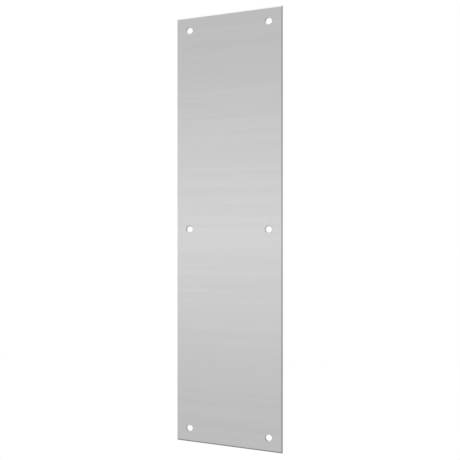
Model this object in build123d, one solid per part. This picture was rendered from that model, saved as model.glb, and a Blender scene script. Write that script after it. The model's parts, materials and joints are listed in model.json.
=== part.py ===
from build123d import *
import os
from math import radians, tan

# Push plate for a door: one blank of stainless sheet with its four face edges bevelled, its corners
# eased and six countersunk screw holes. Millimetres, +Z up the door, +X across it. The back face lies
# on the plane Y = 0 with the origin at its centre, and the front face looks towards -Y.

# Blank
plate_width = 101.6             # across the door
plate_height = 406.4            # up the door
sheet_thickness = 1.27          # 18 gauge
corner_radius = 0.8             # eased corners of the outline
back_edge_break = 0.1           # burr taken off round the back

# Bevel ground along the four face edges
bevel_width = 1.3               # how far it runs in over the face
bevel_depth = 0.6               # how much of the thickness it takes

# Screw holes, for a number 6 wood screw with a countersunk head
screw_columns = 2
screw_rows = 3
hole_side_inset = 12.7          # from the long edges to the hole centres
hole_end_inset = 12.7           # from the short edges to the hole centres
hole_diameter = 5.7
sink_diameter = 6.8             # of the countersink's mouth, at the front face
sink_angle = 82.0               # between opposite walls of the cone

# Worked out from the values above
column_pitch = (plate_width - 2 * hole_side_inset) / (screw_columns - 1)
row_pitch = (plate_height - 2 * hole_end_inset) / (screw_rows - 1)
sink_depth = (sink_diameter - hole_diameter) / 2 / tan(radians(sink_angle / 2))

back = Plane.XZ                             # faces -Y, so what is extruded from it grows to the front
front = back.offset(sheet_thickness)


def sheared_blank():
    """The sheet cut to its outline, with eased corners and the burr taken off the back edges."""
    outline = back * RectangleRounded(plate_width, plate_height, corner_radius)
    blank = extrude(outline, sheet_thickness)
    back_face = blank.faces().sort_by(Axis.Y)[-1]
    return chamfer(back_face.outer_wire().edges(), back_edge_break)


def ground_block():
    """What the grinding leaves: four flat bevels that meet in mitres at square corners."""
    block = extrude(back * Rectangle(plate_width, plate_height), sheet_thickness)
    front_face = block.faces().sort_by(Axis.Y)[0]
    return chamfer(front_face.edges(), bevel_width, bevel_depth, reference=front_face)


def drilled(plate):
    """The plate with a countersunk hole at each crossing of the columns and rows."""
    with BuildPart() as work:
        add(plate)
        with Locations(front):
            with GridLocations(column_pitch, row_pitch, screw_columns, screw_rows):
                CounterSinkHole(hole_diameter / 2, sink_diameter / 2, counter_sink_angle=sink_angle)
    return work.part


# The blank is ground to its bevels, so that the eased corners clip the mitres, and then drilled.
push_plate = drilled(sheared_blank() & ground_block())

os.makedirs("parts", exist_ok=True)
export_step(push_plate, "parts/push_plate.step")

size = push_plate.bounding_box().size
print(f"push_plate: {size.X:.2f} x {size.Y:.2f} x {size.Z:.2f} mm, {len(push_plate.solids())} solid")
print(f"holes {column_pitch:.1f} mm apart across and {row_pitch:.1f} mm apart up the plate")
print(f"countersink {sink_depth:.3f} mm deep, over a straight wall of {sheet_thickness - sink_depth:.3f} mm")
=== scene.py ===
# %% [markdown]
# # A push plate for a door
#
# A push plate is a strip of stainless sheet, screwed to a door where hands land, so that the paint
# behind it stays clean. It is one piece of metal: sheared to size, brushed, ground to a bevel along its
# four face edges, and countersunk for six screws. All its looks are in how each of those tools left the
# steel, so this lesson makes one closed skin, and gives each tool's mark its own finish.
#
# The plate's size and place come from the engineer's model, which is loaded first as a fixed frame.

# %% Open the frame
import json

import bmesh
import bpy
import numpy as np
from mathutils import Matrix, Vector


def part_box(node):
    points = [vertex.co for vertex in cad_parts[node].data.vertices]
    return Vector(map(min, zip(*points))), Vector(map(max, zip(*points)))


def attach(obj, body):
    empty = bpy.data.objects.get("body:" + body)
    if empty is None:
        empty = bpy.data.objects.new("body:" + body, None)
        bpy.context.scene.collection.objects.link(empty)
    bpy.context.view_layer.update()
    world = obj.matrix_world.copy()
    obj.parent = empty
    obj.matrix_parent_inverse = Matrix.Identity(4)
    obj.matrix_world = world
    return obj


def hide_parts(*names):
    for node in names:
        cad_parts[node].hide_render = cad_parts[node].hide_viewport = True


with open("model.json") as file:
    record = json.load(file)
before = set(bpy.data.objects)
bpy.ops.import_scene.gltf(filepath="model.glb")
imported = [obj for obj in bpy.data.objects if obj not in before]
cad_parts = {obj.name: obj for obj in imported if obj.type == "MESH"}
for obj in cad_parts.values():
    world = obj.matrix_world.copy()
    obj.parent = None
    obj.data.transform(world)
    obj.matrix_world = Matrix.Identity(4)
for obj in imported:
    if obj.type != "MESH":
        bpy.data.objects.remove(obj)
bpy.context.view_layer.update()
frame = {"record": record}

scene = bpy.context.scene
low, high = (np.array(corner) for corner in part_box("push_plate"))
print("plate, in metres:", np.round(high - low, 5))

# %% [markdown]
# ## Sizes
#
# A maker's drawing gives a few sizes and leaves the rest to be worked out. The outline and the holes
# can be read from the frame and its list of mounts. The bevel, the corners and the countersinks can't,
# so they are named here, with the reach of the tiny rounding that no real edge is without. Blender
# works in metres, so each size of the plate is written in millimetres and multiplied once.

# %% Sizes of the plate
MM = 0.001
width, thickness, height = high - low
half = np.array([width, height]) / 2
holes = {mount["name"]: mount["dims"] for mount in frame["record"]["mounts"]}["corner_holes"]
columns = holes["spacing_x_mm"] * MM * np.array([-0.5, 0.5])
rows = holes["spacing_y_mm"] * MM * np.array([-0.5, 0, 0.5])
hole_radius = holes["hole_r_mm"] * MM

sink_radius = 3.4 * MM
sink_half_angle = np.radians(41)
sink_depth = (sink_radius - hole_radius) / np.tan(sink_half_angle)
bevel_width, bevel_depth = 1.3 * MM, 0.6 * MM
corner_radius = 0.8 * MM
back_break = 0.1 * MM
crest_reach, fine_reach = 0.16 * MM, 0.04 * MM
print(f"{len(columns) * len(rows)} holes, countersunk {sink_depth / MM:.2f} mm deep")

# %% [markdown]
# ## Edges
#
# A perfectly sharp edge looks false, because no light ever catches it. A Bevel modifier could round
# every edge, but it works by one width, and this plate has edges of many kinds within a millimetre.
# Here the rim and the holes are stacks of rings, one for each sharp edge of their cross-section, and
# this helper swaps every inner ring for a few that turn the corner on a quadratic curve.

# %% Round the edges of a stack of rings
EDGE_STEPS = 4


def eased(rings, reach):
    """Rings of a section with its inner edges rounded. Round an edge E that has neighbours A and B, the
    curve is (1-t)^2 P + 2t(1-t) E + t^2 Q, with t from 0 to 1, where P and Q lie a reach away from E
    towards A and towards B. Rings are arrays of points, all of one shape (points, 3)."""
    rings = np.asarray(rings)
    reach = np.reshape(reach, (-1, 1, 1))
    edge = rings[1:-1]
    before, after = rings[:-2] - edge, rings[2:] - edge
    start = edge + reach * before / np.linalg.norm(before, axis=2, keepdims=True)
    end = edge + reach * after / np.linalg.norm(after, axis=2, keepdims=True)
    t = np.linspace(0, 1, EDGE_STEPS + 1).reshape(1, -1, 1, 1)
    curve = (1 - t) ** 2 * start[:, None] + 2 * t * (1 - t) * edge[:, None] + t**2 * end[:, None]
    return np.concatenate([rings[:1], curve.reshape(-1, *edge.shape[1:]), rings[-1:]])


def strips(zones):
    """The zone of each strip between eased rings, from the zone of each flat of the section. A rounded
    edge belongs to the flat that follows it."""
    return np.repeat(zones, [1] + [EDGE_STEPS + 1] * (len(zones) - 1))


print(f"each edge turns in {EDGE_STEPS} steps")

# %% [markdown]
# ## One skin from many grids
#
# Every part of the skin is a grid of points with rows and columns. Quads join the neighbours, each quad
# has a zone, which is its finish, and each point has a grain coordinate: metres along the tool's marks,
# and metres across them. The grids are collected here and welded at the end. Building them apart and
# welding is simpler than numbering shared points by hand, and the weld shows at once, as an open edge,
# if two grids fail to meet.

# %% Collect grids
FACE, BEVEL, EDGE, SINK, BACK = range(5)
grids = []


def add_grid(points, grain, zones, keep=None):
    """Adds the quads of a grid. Quad (i, j) joins points (i, j), (i, j+1), (i+1, j+1) and (i+1, j), so it
    faces along the step in j crossed with the step in i. One zone, or one for each row of quads."""
    tall, wide = points.shape[:2]
    index = np.arange(tall * wide).reshape(tall, wide)
    quads = np.stack([index[:-1, :-1], index[:-1, 1:], index[1:, 1:], index[1:, :-1]], axis=2)
    keep = np.ones(quads.shape[:2], bool) if keep is None else keep
    zones = np.broadcast_to(np.reshape(zones, (-1, 1)), keep.shape)
    grids.append((points.reshape(-1, 3), grain.reshape(-1, 2), quads[keep], zones[keep]))


def add_rings(rings, around, across, zones):
    """Adds a stack of rings, one grid for each zone. On the face and the back the grain keeps to the
    plate's x and z. Elsewhere it is the distance around the ring, and the distance across the marks."""
    marks = np.stack([np.broadcast_to(around, across.shape), across], axis=2)
    for zone in np.unique(zones):
        places = np.flatnonzero(zones == zone)
        part = slice(places[0], places[-1] + 2)
        grain = rings[part][..., [0, 2]] if zone in (FACE, BACK) else marks[part]
        add_grid(rings[part], grain, zone)


print("zones: face, bevel, edge, sink and back")

# %% [markdown]
# ## The two flats
#
# The front and the back are flat, with six round holes in a rectangle. A Boolean cut would leave long
# slivers round each hole, which shade badly. Instead the grid's lines gather where a row or column of
# holes crosses, and a square block of quads is left out round each hole. The lines inside a block stand
# at equal angles as seen from its centre, so that a ring of points round the hole matches them.

# %% Lines of the flats
BLOCK_STEPS = 16
block_half = 5.2 * MM
line_spacing = 9 * MM
crest_margin = 0.5 * MM
LINE_DIGITS = 9  # of a metre, so to a nanometre
flat_half = half - bevel_width - crest_margin
spread = block_half * np.tan(np.linspace(-np.pi / 4, np.pi / 4, BLOCK_STEPS + 1))


def sheet_lines(end, centres):
    """Grid lines from -end to end: a block's half width times tan(angle) round each centre, and at most
    one spacing apart between the blocks. Lines that fall together are counted once."""
    blocks = [centre + spread for centre in centres]
    stops = np.concatenate([[-end], *[block[[0, -1]] for block in blocks], [end]]).reshape(-1, 2)
    gaps = [np.linspace(a, b, round((b - a) / line_spacing) + 2) for a, b in stops]
    return np.unique(np.round(np.concatenate(gaps + blocks), LINE_DIGITS))


lines_x, lines_z = (sheet_lines(end, centres) for end, centres in zip(flat_half, (columns, rows)))
print(f"flats: {len(lines_x)} by {len(lines_z)} lines")

# %% Flats
middle_x, middle_z = ((lines[1:] + lines[:-1]) / 2 for lines in (lines_x, lines_z))
near_column = np.abs(middle_x[:, None] - columns).min(axis=1) < block_half
near_row = np.abs(middle_z[:, None] - rows).min(axis=1) < block_half
sheet = ~np.outer(near_row, near_column)

grid_x, grid_z = np.meshgrid(lines_x, lines_z)
grain = np.stack([grid_x, grid_z], axis=2)
front, back = (np.stack([grid_x, np.full_like(grid_x, y), grid_z], axis=2) for y in (-thickness, 0))
add_grid(front, grain, FACE, sheet)
add_grid(back[:, ::-1], grain[:, ::-1], BACK, sheet[:, ::-1])
print(f"{int(sheet.sum())} quads on each flat, {int((~sheet).sum())} left out round the holes")

# %% [markdown]
# ## Countersunk holes
#
# A countersink is a cone cut by a turning tool, above the straight wall of the hole. It could be lathed
# with a Screw modifier, but its outer ring has to meet a square block. So the rings are worked out: a
# square one and two between, then circles down through the sheet, and the same again in reverse on the
# back. The tool's marks run round the hole, so the distance across them is depth - radius, which grows
# all the way down the cone and the wall. One hole is computed and shifted to six places.

# %% Rings of a hole
LEAD_STEPS = 3
around = np.linspace(-np.pi / 4, 7 * np.pi / 4, 4 * BLOCK_STEPS + 1)
circle = np.stack([np.cos(around), np.sin(around)], axis=1)
square = circle / np.abs(circle).max(axis=1, keepdims=True)


def level_ring(outline, depth):
    """A ring with the outline's x and z, at a depth behind the front."""
    depth = np.broadcast_to(depth, len(outline))
    return np.stack([outline[:, 0], depth - thickness, outline[:, 1]], axis=1)


def lead_in(radius, depth):
    """Rings from the edge of a block towards a circle: start + step / steps (end - start)."""
    start, end = level_ring(square * block_half, depth), level_ring(circle * radius, depth)
    return [start + step / LEAD_STEPS * (end - start) for step in range(LEAD_STEPS)]


print(f"{len(around) - 1} points round each ring")

# %% Holes
land = 0.3 * MM
mouth, throat = sink_radius + land, hole_radius + land
section = [
    (mouth, 0), (sink_radius, 0), (hole_radius, sink_depth), (hole_radius, thickness), (throat, thickness),
]
bore = eased(
    [level_ring(circle * radius, depth) for radius, depth in section],
    [2 * fine_reach, fine_reach, fine_reach],
)
hole = np.concatenate([lead_in(mouth, 0), bore, lead_in(throat, thickness)[::-1]])
bore_zones = strips([FACE, SINK, SINK, BACK])
hole_zones = np.concatenate([[FACE] * LEAD_STEPS, bore_zones, [BACK] * LEAD_STEPS])
down_the_hole = hole[..., 1] - np.hypot(hole[..., 0], hole[..., 2])
for x in columns:
    for z in rows:
        add_rings(hole + (x, 0, z), around * sink_radius, down_the_hole, hole_zones)
print(f"{len(columns) * len(rows)} holes of {len(hole)} rings")

# %% [markdown]
# ## The ground rim
#
# A belt grinder leaves four flat bevels that meet in mitres. The corners are eased afterwards, so the
# round corner cuts the bevels off early, and the rim rises a little there. A section swept along a
# rounded outline would get this wrong, and bend the bevel round the corner like a moulding. So the crest
# keeps its square corners, the foot follows the round outline, and the foot's depth is read off
# whichever bevel is deeper at that point. The same measure, distance past the crest, runs the grinder's
# marks straight along each bevel until they stop at the mitre.

# %% Outlines
CORNER_STEPS = 8


def outline(ends, radius=0.0):
    """A closed outline, clockwise from the front: the flats' lines along each side, and after each side
    an arc, centre + radius (cos a, sin a), with a falling by a quarter turn. With no radius the whole arc
    is one corner point."""
    sides = (lines_x, ends[1]), (ends[0], lines_z[::-1]), (lines_x[::-1], -ends[1]), (-ends[0], lines_z)
    path = []
    for quarter, side in enumerate(sides):
        turn = np.linspace(np.pi / 2, 0, CORNER_STEPS + 1) - quarter * np.pi / 2
        arc = np.stack([np.cos(turn), np.sin(turn)], axis=1)
        centre = np.sign(arc.mean(axis=0)) * (ends - radius)
        path += [np.stack(np.broadcast_arrays(*side), axis=1), centre + radius * arc]
    return np.concatenate(path + [path[0][:1]])


def past_crest(x_and_z):
    """Distance outwards from the crest, seen from the front: |x| or |z| less the crest's, if larger."""
    return (np.abs(x_and_z) - half + bevel_width).max(axis=-1)


edge_path = outline(half, corner_radius)
foot_depth = past_crest(edge_path) * bevel_depth / bevel_width
print(f"foot of the bevel {foot_depth.min() / MM:.2f} to {foot_depth.max() / MM:.2f} mm deep")

# %% Rim
rim = eased(
    [
        level_ring(outline(flat_half), 0),
        level_ring(outline(half - bevel_width), 0),
        level_ring(edge_path, foot_depth),
        level_ring(edge_path, thickness - back_break),
        level_ring(outline(half - back_break, corner_radius - back_break), thickness),
        level_ring(outline(flat_half), thickness),
    ],
    [crest_reach, fine_reach, fine_reach / 2, fine_reach / 2],
)
edge_length = np.append(0, np.linalg.norm(np.diff(edge_path, axis=0), axis=1).cumsum())
down_the_rim = rim[..., 1] + past_crest(rim[..., [0, 2]])
add_rings(rim, edge_length, down_the_rim, strips([FACE, BEVEL, EDGE, EDGE, BACK]))
print(f"rim: {len(rim)} rings of {len(edge_path) - 1} points")

# %% [markdown]
# ## Weld
#
# The grids meet point for point, so merging points closer than a thousandth of a millimetre closes the
# skin. A closed skin has two faces on every edge, and its volume times the density of steel is the
# plate's weight, which is a quick test that nothing is missing or inside out.

# %% Weld the skin
weld_distance = 0.001 * MM
LITRES = 1000  # in a cubic metre
STEEL_DENSITY = 7.85  # kilograms in a litre
starts = np.cumsum([0] + [len(points) for points, *_ in grids])
points, grain, quads, zones = (np.concatenate(parts) for parts in zip(*[
    (points, grain, quads + start, zones) for (points, grain, quads, zones), start in zip(grids, starts)
]))
used, corners = np.unique(quads, return_inverse=True)

skin = bpy.data.meshes.new("satin_push_plate")
skin.from_pydata(points[used], [], corners.reshape(-1, 4).tolist())
skin.uv_layers.new(name="grain").uv.foreach_set("vector", grain[quads].ravel())
skin.polygons.foreach_set("material_index", zones)

work = bmesh.new()
work.from_mesh(skin)
bmesh.ops.remove_doubles(work, verts=work.verts, dist=weld_distance)
open_edges = sum(len(edge.link_faces) != 2 for edge in work.edges)
weight = work.calc_volume(signed=True) * LITRES * STEEL_DENSITY
work.to_mesh(skin)
work.free()
print(f"{len(skin.polygons)} faces, {open_edges} open edges, {weight:.3f} kg of steel")

# %% [markdown]
# ## Shading
#
# Smooth shading alone would smear the rounded edges over the flats beside them. The Weighted Normal
# modifier lets the largest face at each point decide, so the flats stay flat and only the rounded
# edges turn. The mitres of the bevels stay sharp, because nothing rounds them off at the grinder.

# %% Shade the skin
sharp_angle = np.radians(32)

plate = bpy.data.objects.new("satin_push_plate", skin)
scene.collection.objects.link(plate)
skin.shade_smooth()
skin.set_sharp_from_angle(angle=sharp_angle)
flats_stay_flat = plate.modifiers.new("flats_stay_flat", "WEIGHTED_NORMAL")
flats_stay_flat.keep_sharp = True
print("sharp edges:", sum(edge.use_edge_sharp for edge in skin.edges))

# %% [markdown]
# ## Shader sums
#
# Finishes are easier to read as sums than as a web of nodes. This class wraps the socket that a value
# comes out of, so that ordinary arithmetic on it adds the Math nodes, and one method adds any other node.

# %% Sockets that add up
class Signal:
    """A value, vector or colour that comes out of a shader node."""

    def __init__(self, socket):
        self.socket = socket
        self.tree = socket.id_data

    @classmethod
    def node(cls, tree, kind, settings=None, sockets=None, output=0):
        """Adds any node. Its settings are made first, because they decide which sockets it has. Each
        socket, by name or number, takes a plain value or another signal."""
        made = tree.nodes.new("ShaderNode" + kind)
        for name, value in (settings or {}).items():
            setattr(made, name, value)
        for name, value in (sockets or {}).items():
            if isinstance(value, Signal):
                tree.links.new(value.socket, made.inputs[name])
            else:
                made.inputs[name].default_value = value
        return cls(made.outputs[output]) if made.outputs else made

    def sum(self, operation, *terms):
        """A Math node, or a Vector Math node where a term is a vector or a colour."""
        wide = any(isinstance(term, Signal) and term.socket.type != "VALUE" for term in terms)
        if wide:
            terms = [(term,) * 3 if isinstance(term, (int, float)) else term for term in terms]
        kind = "VectorMath" if wide else "Math"
        return Signal.node(self.tree, kind, {"operation": operation}, dict(enumerate(terms)))

    def __add__(self, other):
        return self.sum("ADD", self, other)

    def __sub__(self, other):
        return self.sum("SUBTRACT", self, other)

    def __rsub__(self, other):
        return self.sum("SUBTRACT", other, self)

    def __mul__(self, other):
        return self.sum("MULTIPLY", self, other)

    def __truediv__(self, other):
        return self.sum("DIVIDE", self, other)

    def __rtruediv__(self, other):
        return self.sum("DIVIDE", other, self)

    __radd__, __rmul__ = __add__, __mul__


print("arithmetic on sockets is ready")

# %% [markdown]
# Three more helpers save repeating: a colour between two others, a grey, and a material with its node
# tree still bare.

# %% Colours and bare materials
def blend(share, first, second):
    """A colour between two colours, by a share from 0 to 1. A Mix node has sockets for every kind of
    data: the share is number 0, colours are numbers 6 and 7, and the mixed colour is output 2."""
    return Signal.node(share.tree, "Mix", {"data_type": "RGBA"}, {0: share, 6: first, 7: second}, 2)


def grey(level):
    """A neutral colour with alpha 1."""
    return (level, level, level, 1.0)


def bare_material(name):
    """A material with no nodes in its tree yet."""
    material = bpy.data.materials.new(name)
    material.use_nodes = True
    material.node_tree.nodes.clear()
    return material


print("colours are ready")

# %% [markdown]
# ## Tool marks
#
# Every finish on this plate is a field of fine parallel scratches. What differs is their length, their
# width and how deep they are. An image would repeat, and it would blur close up. Noise doesn't: it is
# read at the grain coordinate divided by the length and the width of one mark, which stretches its
# blobs into scratches that follow the tool, along the face, down each bevel or round a countersink.
#
# Steel itself hardly changes from zone to zone, so one function makes all the finishes. The marks do
# three things in it: the bottom of a scratch is a little darker, a little rougher, and lower. The Bump
# node turns that height into tilts that break up reflections. Where the scratches all lie one way they
# also smear a reflection across themselves, which is what anisotropy stands for.

# %% Steel with scratches
RAGGEDNESS = 0.8  # strength of each octave of the noise next to the one before
ALONG_THE_NOISE, ACROSS_THE_NOISE = 0.37, 40.0  # from one seed's stretch to the next
QUARTER_TURN = 0.25  # of a whole one, so that reflections smear across the marks


def scratches(tree, length, width, detail=2.0, seed=0):
    """Noise stretched along the grain: noise(u / length, v / width), with u and v the grain coordinate.
    Each seed reads another stretch of the same endless noise."""
    grain = Signal.node(tree, "UVMap", {"uv_map": "grain"})
    place = grain / (length, width, 1) + (ALONG_THE_NOISE * seed, ACROSS_THE_NOISE * seed, 0)
    return Signal.node(
        tree, "TexNoise", {"noise_dimensions": "2D"},
        {"Vector": place, "Scale": 1.0, "Detail": detail, "Roughness": RAGGEDNESS},
    )


def steel(name, marks, dark, light, smooth, rough, relief, anisotropy=0.0):
    """Adds a steel finish to the skin. Marks is a function of the tree that gives the scratches, from 0
    at their bottom to 1. The colour goes from dark to light with them, the roughness from rough to
    smooth, and the height from 0 to the relief."""
    finish = bare_material(name)
    tree = finish.node_tree
    mark = marks(tree)
    surface = Signal.node(tree, "BsdfPrincipled", {}, {
        "Base Color": blend(mark, grey(dark), grey(light)),
        "Metallic": 1.0,
        "Roughness": rough - (rough - smooth) * mark,
        "Anisotropic": anisotropy,
        "Anisotropic Rotation": QUARTER_TURN,
        "Normal": Signal.node(tree, "Bump", {}, {"Strength": 1.0, "Distance": relief, "Height": mark}),
    })
    Signal.node(tree, "OutputMaterial", {}, {"Surface": surface})
    skin.materials.append(finish)
    print(f"{name}: {len(tree.nodes)} nodes")


print("steel is ready")

# %% [markdown]
# ## The brushed face
#
# The face is brushed on a wide abrasive belt, across the plate. From close by it is all single
# scratches, a few centimetres long and about as fine as a hair. From a step back those blur, and what
# is left is faint bands right across, from a millimetre to a centimetre wide, where the belt's grit is
# more or less worn. So two noises are added: a fine one, and a broad one whose finer octaves fill the
# sizes between. The scratches smear reflections up and down, and the anisotropy does the same.

# %% Brushed face
BANDS_SHARE = 0.45


def brushed(tree):
    """Single scratches, and the bands that a worn belt leaves, added up by their shares."""
    fine = scratches(tree, 60 * MM, 0.12 * MM)
    bands = scratches(tree, 1600 * MM, 12 * MM, detail=4.0, seed=3)
    return (1 - BANDS_SHARE) * fine + BANDS_SHARE * bands


steel(
    "brushed_face", brushed, dark=0.442, light=0.558, smooth=0.22, rough=0.30, relief=0.003 * MM,
    anisotropy=0.5,
)

# %% [markdown]
# ## The ground bevel
#
# The bevels are ground on a narrower belt that runs along each edge, so their scratches turn with the
# edge, and are shorter and finer than the face's. That turn is in the grain coordinate already, so the
# finish itself only names the size of a scratch.

# %% Ground bevel
def ground(tree):
    """Scratches that run along the bevel."""
    return scratches(tree, 12 * MM, 0.06 * MM)


steel("ground_bevel", ground, dark=0.42, light=0.58, smooth=0.24, rough=0.36, relief=0.002 * MM)

# %% [markdown]
# ## The sheared edge
#
# Below the bevel is what is left of the shear's cut, half a millimetre of it. Steel tears as it parts,
# so this is the roughest surface on the plate, with short pits hardly longer than they are wide, and
# more octaves of noise to make them ragged.

# %% Sheared edge
def sheared(tree):
    """Short coarse tears."""
    return scratches(tree, 0.8 * MM, 0.3 * MM, detail=4.0)


steel("sheared_edge", sheared, dark=0.42, light=0.52, smooth=0.35, rough=0.50, relief=0.004 * MM)

# %% [markdown]
# ## The countersinks
#
# A countersink is turned, so its scratches are circles round the hole. The cutter leaves them clean and
# even, and the finish has hardly any change of colour. What is seen is the cone's own shape: it is dark
# where it faces something dark in the room, and bright where it faces a lamp.

# %% Turned countersink
def turned(tree):
    """Rings round the cone."""
    return scratches(tree, 9 * MM, 0.05 * MM)


steel("turned_sink", turned, dark=0.475, light=0.515, smooth=0.22, rough=0.30, relief=0.001 * MM)

# %% [markdown]
# ## The rolled back
#
# Nobody brushes the back. It is as it left the rolling mill: soft, dull and grey, with faint clouds as
# broad as a fingertip. The same noise makes them, with a mark about a hundred times as wide as a scratch
# of the face.

# %% Rolled back
def rolled(tree):
    """Soft clouds, with a trace of the roll's direction."""
    return scratches(tree, 6 * MM, 11 * MM, detail=5.0)


steel("rolled_back", rolled, dark=0.47, light=0.52, smooth=0.36, rough=0.42, relief=0.001 * MM)

# %% [markdown]
# ## Camera
#
# The plate is seen from close by, a little to its right and level with its middle, so its near edge
# looks taller than its far edge. The camera's place is given from the middle of the plate's face: to the
# right, out and up. It looks level, so that the plate's long edges stay upright. Lenses are sold by their
# length in millimetres for film 36 mm wide, so the lens is given that way too.

# %% Camera
camera_right, camera_out, camera_up = 91.3 * MM, 364.1 * MM, -0.58 * MM
camera_turn = 13.83
lens_length, film_width = 31.42, 36
nearest_seen = 10 * MM

camera = bpy.data.objects.new("camera", bpy.data.cameras.new("camera"))
scene.collection.objects.link(camera)
bpy.context.scene.camera = camera
camera.data.sensor_width = film_width
camera.data.lens = lens_length
camera.data.clip_start = nearest_seen
camera.location = (camera_right, low[1] - camera_out, camera_up)
camera.rotation_euler = np.radians((90, 0, camera_turn))
print(f"lens {lens_length:.1f} mm, {np.hypot(camera_right, camera_out):.3f} m away")

# %% [markdown]
# ## Lamps
#
# Polished metal has hardly a colour of its own: it shows the room. So a metal plate is lit by arranging
# what it reflects. The room here is a white tent, with a wide soft lamp on each of four sides and a tube
# lamp across the middle of each. The brushing smears the tube up and down, and that is the broad
# highlight across the middle of the plate. One more soft lamp hangs over it and brightens the upper
# bevel. Two lamps in one plane would hide each other, so the tubes stand a little nearer.
#
# An area lamp's power is spread over its size, so the same power looks dimmer from a larger lamp. Here
# a lamp is asked for by the brightness that metal sees in it, where 1 is as bright as white paper. The
# sizes of the room are in metres, with the plate at its middle.

# %% Lamps
ROOM_HALF = 1.1
FLOOR_LEVEL = -0.473
TUBE_WIDTH, TUBE_GAP = 0.04, 0.02
OVERHEAD_LEVEL, OVERHEAD_SIZE = 0.9, (1.6, 0.7)
SOFT, TUBE, OVERHEAD = 0.225, 0.92, 0.95


def lamp(name, place, tilt, bearing, size, brightness):
    """A rectangular lamp with power = pi x area x brightness. Unturned, it shines straight down. It is
    tilted about X and then turned about Z, in degrees."""
    light = bpy.data.lights.new(name, "AREA")
    light.shape = "RECTANGLE"
    light.size, light.size_y = size
    light.energy = np.pi * size[0] * size[1] * brightness
    holder = bpy.data.objects.new(name, light)
    scene.collection.objects.link(holder)
    holder.location = place
    holder.rotation_euler = np.radians((tilt, 0, bearing))


soft_size, tube_size = (2 * ROOM_HALF, -2 * FLOOR_LEVEL), (2 * ROOM_HALF, TUBE_WIDTH)
for side, bearing in {"front": 0, "right": 90, "back": 180, "left": 270}.items():
    outward = np.array([np.sin(np.radians(bearing)), -np.cos(np.radians(bearing)), 0])
    lamp(f"{side}_soft", ROOM_HALF * outward, 90, bearing, soft_size, SOFT)
    lamp(f"{side}_tube", (ROOM_HALF - TUBE_GAP) * outward, 90, bearing, tube_size, TUBE)
lamp("overhead", (0, 0, OVERHEAD_LEVEL), 0, 0, OVERHEAD_SIZE, OVERHEAD)

# %% [markdown]
# ## Tent
#
# The tent is the world. It lights the plate a little below white, and shows as pure white, straight and
# in reflections, because paper that is only seen should not add light. The Light Path node tells the two
# kinds of ray apart.

# %% Tent
TENT_LIGHT = 0.75


def looked_at(tree):
    """1 for rays that look at a surface, straight or in metal or glass, and 0 for rays of light."""
    rays = Signal.node(tree, "LightPath").socket.node.outputs
    straight, mirrored, through = (
        Signal(rays[f"Is {kind} Ray"]) for kind in ("Camera", "Glossy", "Transmission")
    )
    return straight + mirrored + through


tent = bpy.data.worlds.new("white_tent")
scene.world = tent
tent.use_nodes = True
tent.node_tree.nodes.clear()
strength = TENT_LIGHT + (1 - TENT_LIGHT) * looked_at(tent.node_tree)
paper = Signal.node(tent.node_tree, "Background", {}, {"Color": grey(1), "Strength": strength})
Signal.node(tent.node_tree, "OutputWorld", {}, {"Surface": paper})
scene.view_settings.view_transform = "Standard"
print("the tent is up")

# %% [markdown]
# ## Floor
#
# The floor does as the tent does. Most of what shows is its own pale diffuse colour, which the plate can
# shade, and the rest is a faint glow for rays that look at it. So open floor is white, and the plate's
# shadow stays.

# %% Floor
FLOOR_PAINT, FLOOR_GLOW = 0.8, 0.23


def sheet_of(name, x, y, level):
    """A level rectangle of one quad that faces up, with x and y each a low and a high end."""
    corners_x, corners_y = np.meshgrid(x, y)
    points = np.stack([corners_x, corners_y, np.full((2, 2), level)], axis=2).reshape(-1, 3)
    mesh = bpy.data.meshes.new(name)
    mesh.from_pydata(points, [], [(0, 1, 3, 2)])
    thing = bpy.data.objects.new(name, mesh)
    scene.collection.objects.link(thing)
    return thing


floor = sheet_of("floor", (-ROOM_HALF, ROOM_HALF), (-ROOM_HALF, ROOM_HALF), FLOOR_LEVEL)
pale_floor = bare_material("pale_floor")
tree = pale_floor.node_tree
pale = Signal.node(tree, "BsdfDiffuse", {}, {"Color": grey(FLOOR_PAINT)})
glow = Signal.node(tree, "Emission", {}, {"Color": grey(1), "Strength": FLOOR_GLOW * looked_at(tree)})
Signal.node(tree, "OutputMaterial", {}, {"Surface": Signal.node(tree, "AddShader", {}, {0: pale, 1: glow})})
floor.data.materials.append(pale_floor)
print(f"floor {FLOOR_LEVEL - low[2]:.2f} m from the plate's lower edge")

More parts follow.
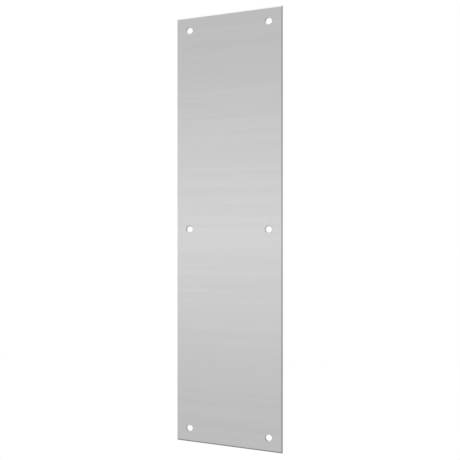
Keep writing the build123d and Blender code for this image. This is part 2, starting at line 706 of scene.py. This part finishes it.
# %% [markdown]
# ## Grey cards
#
# In an all-white room, the bevels of a white-lit plate would melt into its face. In a studio, grey cards
# are held beside such metal, so that some of its edges pick up something darker. Three sheets stand in
# for them here. Each glows a set grey that nothing but reflections can see, so what they give the metal
# is painted reflection, which puts painted shade on some of its edges. One off the plate's right corner
# darkens the right bevel, one at its right darkens the left side of each countersink, and one below it
# darkens the lower bevel. The two upright ones also carry a painted highlight across their middle.

# %% Grey cards
CARD_DISTANCE = 0.42
CARD_X, CARD_Z = (-0.24, 0.24), (-0.47, 0.47)
LOWER_CARD_X, LOWER_CARD_Y = (-0.4, 0.4), (-0.12, 0.12)
PAINTED_HIGHLIGHT_REACH = 0.12


def card(thing, level, glow=0.0):
    """Makes a sheet a grey card that only reflections see. Its grey is emitted, a painted reflection, and a
    painted highlight that stands in for the tubes' light adds a glow, by a share that falls off up and
    down as 1 / (1 + (z / reach)^2)."""
    thing.visible_camera = thing.visible_diffuse = thing.visible_shadow = False
    thing.visible_transmission = thing.visible_volume_scatter = False
    finish = bare_material(thing.name)
    tree = finish.node_tree
    # Painted reflection: the card glows its grey, and the lit copy adds a painted highlight, brightest at
    # mid-height, in place of the tubes' light.
    unlit = Signal.node(tree, "Emission", {}, {"Color": grey(level)})
    lit = Signal.node(tree, "Emission", {}, {"Color": grey(level + glow)})
    place = Signal.node(tree, "TexCoord", output="Object")
    up = Signal.node(tree, "SeparateXYZ", {}, {0: place}, "Z") / PAINTED_HIGHLIGHT_REACH
    shade = Signal.node(tree, "MixShader", {}, {0: 1 / (1 + up * up), 1: unlit, 2: lit})
    Signal.node(tree, "OutputMaterial", {}, {"Surface": shade})
    thing.data.materials.append(finish)


def upright_card(name, bearing, level, glow):
    """A card on its edge. It stands off the plate's front and is then carried round to the right by the
    bearing, in degrees."""
    thing = sheet_of(name, CARD_X, CARD_Z, 0)
    stood_up = Matrix.Translation((0, -CARD_DISTANCE, 0)) @ Matrix.Rotation(np.radians(90), 4, "X")
    thing.data.transform(Matrix.Rotation(np.radians(bearing), 4, "Z") @ stood_up)
    card(thing, level, glow)


# Each card's grey level is a painted reflection, and its glow is a painted highlight. No lamp lights them.
upright_card("corner_card", bearing=45, level=0.62, glow=0.2)
upright_card("side_card", bearing=98, level=0.15, glow=0.1)
card(sheet_of("lower_card", LOWER_CARD_X, LOWER_CARD_Y, -CARD_DISTANCE), level=0.32)
print("three cards are up")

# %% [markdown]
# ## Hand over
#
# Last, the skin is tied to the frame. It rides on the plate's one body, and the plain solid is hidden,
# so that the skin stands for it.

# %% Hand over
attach(plate, "root")
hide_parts("push_plate")
